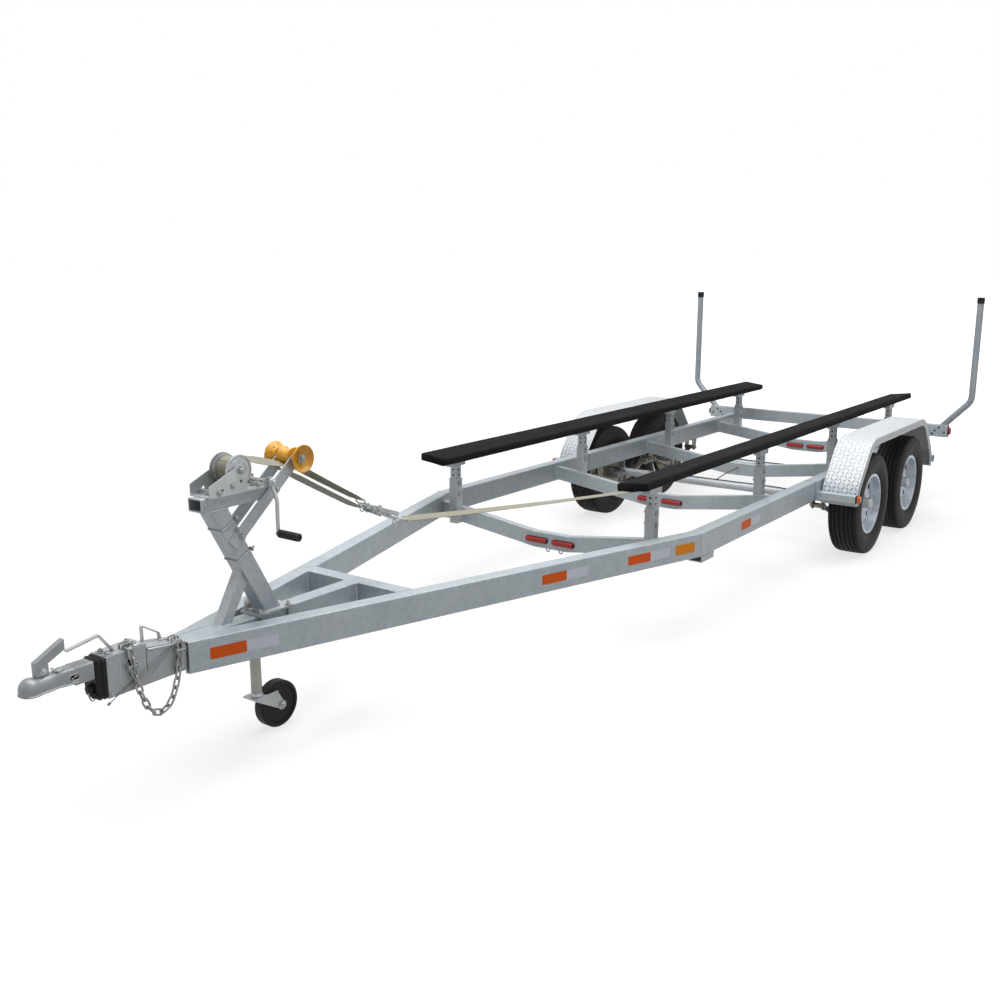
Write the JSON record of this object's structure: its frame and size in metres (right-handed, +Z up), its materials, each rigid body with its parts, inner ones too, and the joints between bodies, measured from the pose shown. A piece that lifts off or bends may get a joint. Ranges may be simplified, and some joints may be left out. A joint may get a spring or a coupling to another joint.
{
  "type": "boat trailer",
  "caption": "Bunk boat trailer: galvanised frame with a drawn-in tongue, tandem wheels under tread-plate fenders, carpeted bunks, winch post with bow roller, and a swivel jack.",
  "frame": {"origin": "bottom centre of the bounding box, on the ground under the wheels", "axes": "+X forward to the coupler, +Y to the trailer's left, +Z up"},
  "size_m": [7.5514, 2.4818, 1.655],
  "materials": {
    "galvanised_steel": "hot-dip galvanised, pale spangle, dulled by weather",
    "tread_plate": "bright diamond tread plate",
    "silver_paint": "silver-grey wheel enamel",
    "tyre_rubber": "black ribbed radial, slightly dusty",
    "carpeted_wood": "timber wrapped in black carpet",
    "red_lens": "red lens",
    "amber_lens": "amber lens",
    "black_plastic": "matt black",
    "yellow_roller": "yellow poly",
    "beige_webbing": "woven strap, beige",
    "zinc_hardware": "zinc plated, faint gold cast",
    "spring_steel": "dull coated spring steel with an olive cast"
  },
  "bodies": {
    "frame": {"rail_front_left": "galvanised_steel", "rail_rear_left": "galvanised_steel", "rail_front_right": "galvanised_steel", "rail_rear_right": "galvanised_steel", "bend_stubs": "galvanised_steel", "tongue_beam": "galvanised_steel", "nose_crossmember": "galvanised_steel", "crossmember_1": "galvanised_steel", "crossmember_2": "galvanised_steel", "crossmember_3": "galvanised_steel", "crossmember_4": "galvanised_steel", "crossmember_lamps": "red_lens", "rear_crossbar": "galvanised_steel", "rear_lamps": "red_lens", "guide_pole_left": "galvanised_steel", "guide_pole_right": "galvanised_steel", "guide_pole_caps": "black_plastic", "bunk_left": "carpeted_wood", "bunk_right": "carpeted_wood", "post_sleeves": "galvanised_steel", "bunk_posts": "galvanised_steel", "axle_front": "galvanised_steel", "axle_rear": "galvanised_steel", "brake_plates": "zinc_hardware", "leaf_springs": "spring_steel", "spring_hangers": "spring_steel", "equalisers": "spring_steel", "fender_left": "tread_plate", "fender_right": "tread_plate", "fender_arms": "galvanised_steel", "side_lamps": "amber_lens", "actuator_case": "galvanised_steel", "wear_block": "black_plastic", "coupler": "zinc_hardware", "coupler_latch": "zinc_hardware", "breakaway_lever": "zinc_hardware", "safety_chain": "zinc_hardware", "jack_tube": "galvanised_steel", "winch_brace": "galvanised_steel", "winch_head": "galvanised_steel", "winch_mast": "galvanised_steel", "winch_frame": "zinc_hardware", "bow_stop_arms": "galvanised_steel", "strap_ratchet": "zinc_hardware", "webbing": "beige_webbing"},
    "wheel_front_left": {"tyre_front_left": "tyre_rubber", "wheel_front_left": "silver_paint"},
    "wheel_front_right": {"tyre_front_right": "tyre_rubber", "wheel_front_right": "silver_paint"},
    "wheel_rear_left": {"tyre_rear_left": "tyre_rubber", "wheel_rear_left": "silver_paint"},
    "wheel_rear_right": {"tyre_rear_right": "tyre_rubber", "wheel_rear_right": "silver_paint"},
    "jack_leg": {"jack_leg": "zinc_hardware"},
    "caster_fork": {"caster_fork": "zinc_hardware"},
    "caster_wheel": {"caster_wheel": "black_plastic"},
    "winch_drum": {"winch_drum": "zinc_hardware"},
    "winch_crank": {"winch_crank": "zinc_hardware", "crank_grip": "black_plastic"},
    "bow_roller": {"bow_roller": "yellow_roller"}
  },
  "joints": [
    {"name": "wheel_front_left_spin", "type": "hinge", "parent": "frame", "child": "wheel_front_left", "pos_m": [-1.67675, 1.008, 0.3445], "axis": [0, 1, 0], "continuous": true},
    {"name": "wheel_front_right_spin", "type": "hinge", "parent": "frame", "child": "wheel_front_right", "pos_m": [-1.67675, -1.008, 0.3445], "axis": [0, 1, 0], "continuous": true},
    {"name": "wheel_rear_left_spin", "type": "hinge", "parent": "frame", "child": "wheel_rear_left", "pos_m": [-2.53675, 1.008, 0.3445], "axis": [0, 1, 0], "continuous": true},
    {"name": "wheel_rear_right_spin", "type": "hinge", "parent": "frame", "child": "wheel_rear_right", "pos_m": [-2.53675, -1.008, 0.3445], "axis": [0, 1, 0], "continuous": true},
    {"name": "jack_leg_lift", "type": "slide", "parent": "frame", "child": "jack_leg", "axis": [0, 0, 1], "range_m": [-0.02, 0.1]},
    {"name": "caster_swivel", "type": "hinge", "parent": "jack_leg", "child": "caster_fork", "pos_m": [2.70825, -0.074, 0.172], "axis": [0, 0, 1], "continuous": true},
    {"name": "caster_wheel_spin", "type": "hinge", "parent": "caster_fork", "child": "caster_wheel", "pos_m": [2.60432, -0.074, 0.102], "axis": [0, 1, 0], "continuous": true},
    {"name": "winch_drum_turn", "type": "hinge", "parent": "frame", "child": "winch_drum", "pos_m": [2.84325, 0, 1.168], "axis": [0, 1, 0], "continuous": true},
    {"name": "winch_crank_turn", "type": "hinge", "parent": "frame", "child": "winch_crank", "pos_m": [2.70325, 0, 1.103], "axis": [0, 1, 0], "continuous": true},
    {"name": "bow_roller_spin", "type": "hinge", "parent": "frame", "child": "bow_roller", "pos_m": [2.53825, 0, 1.172], "axis": [0, 1, 0], "continuous": true}
  ]
}
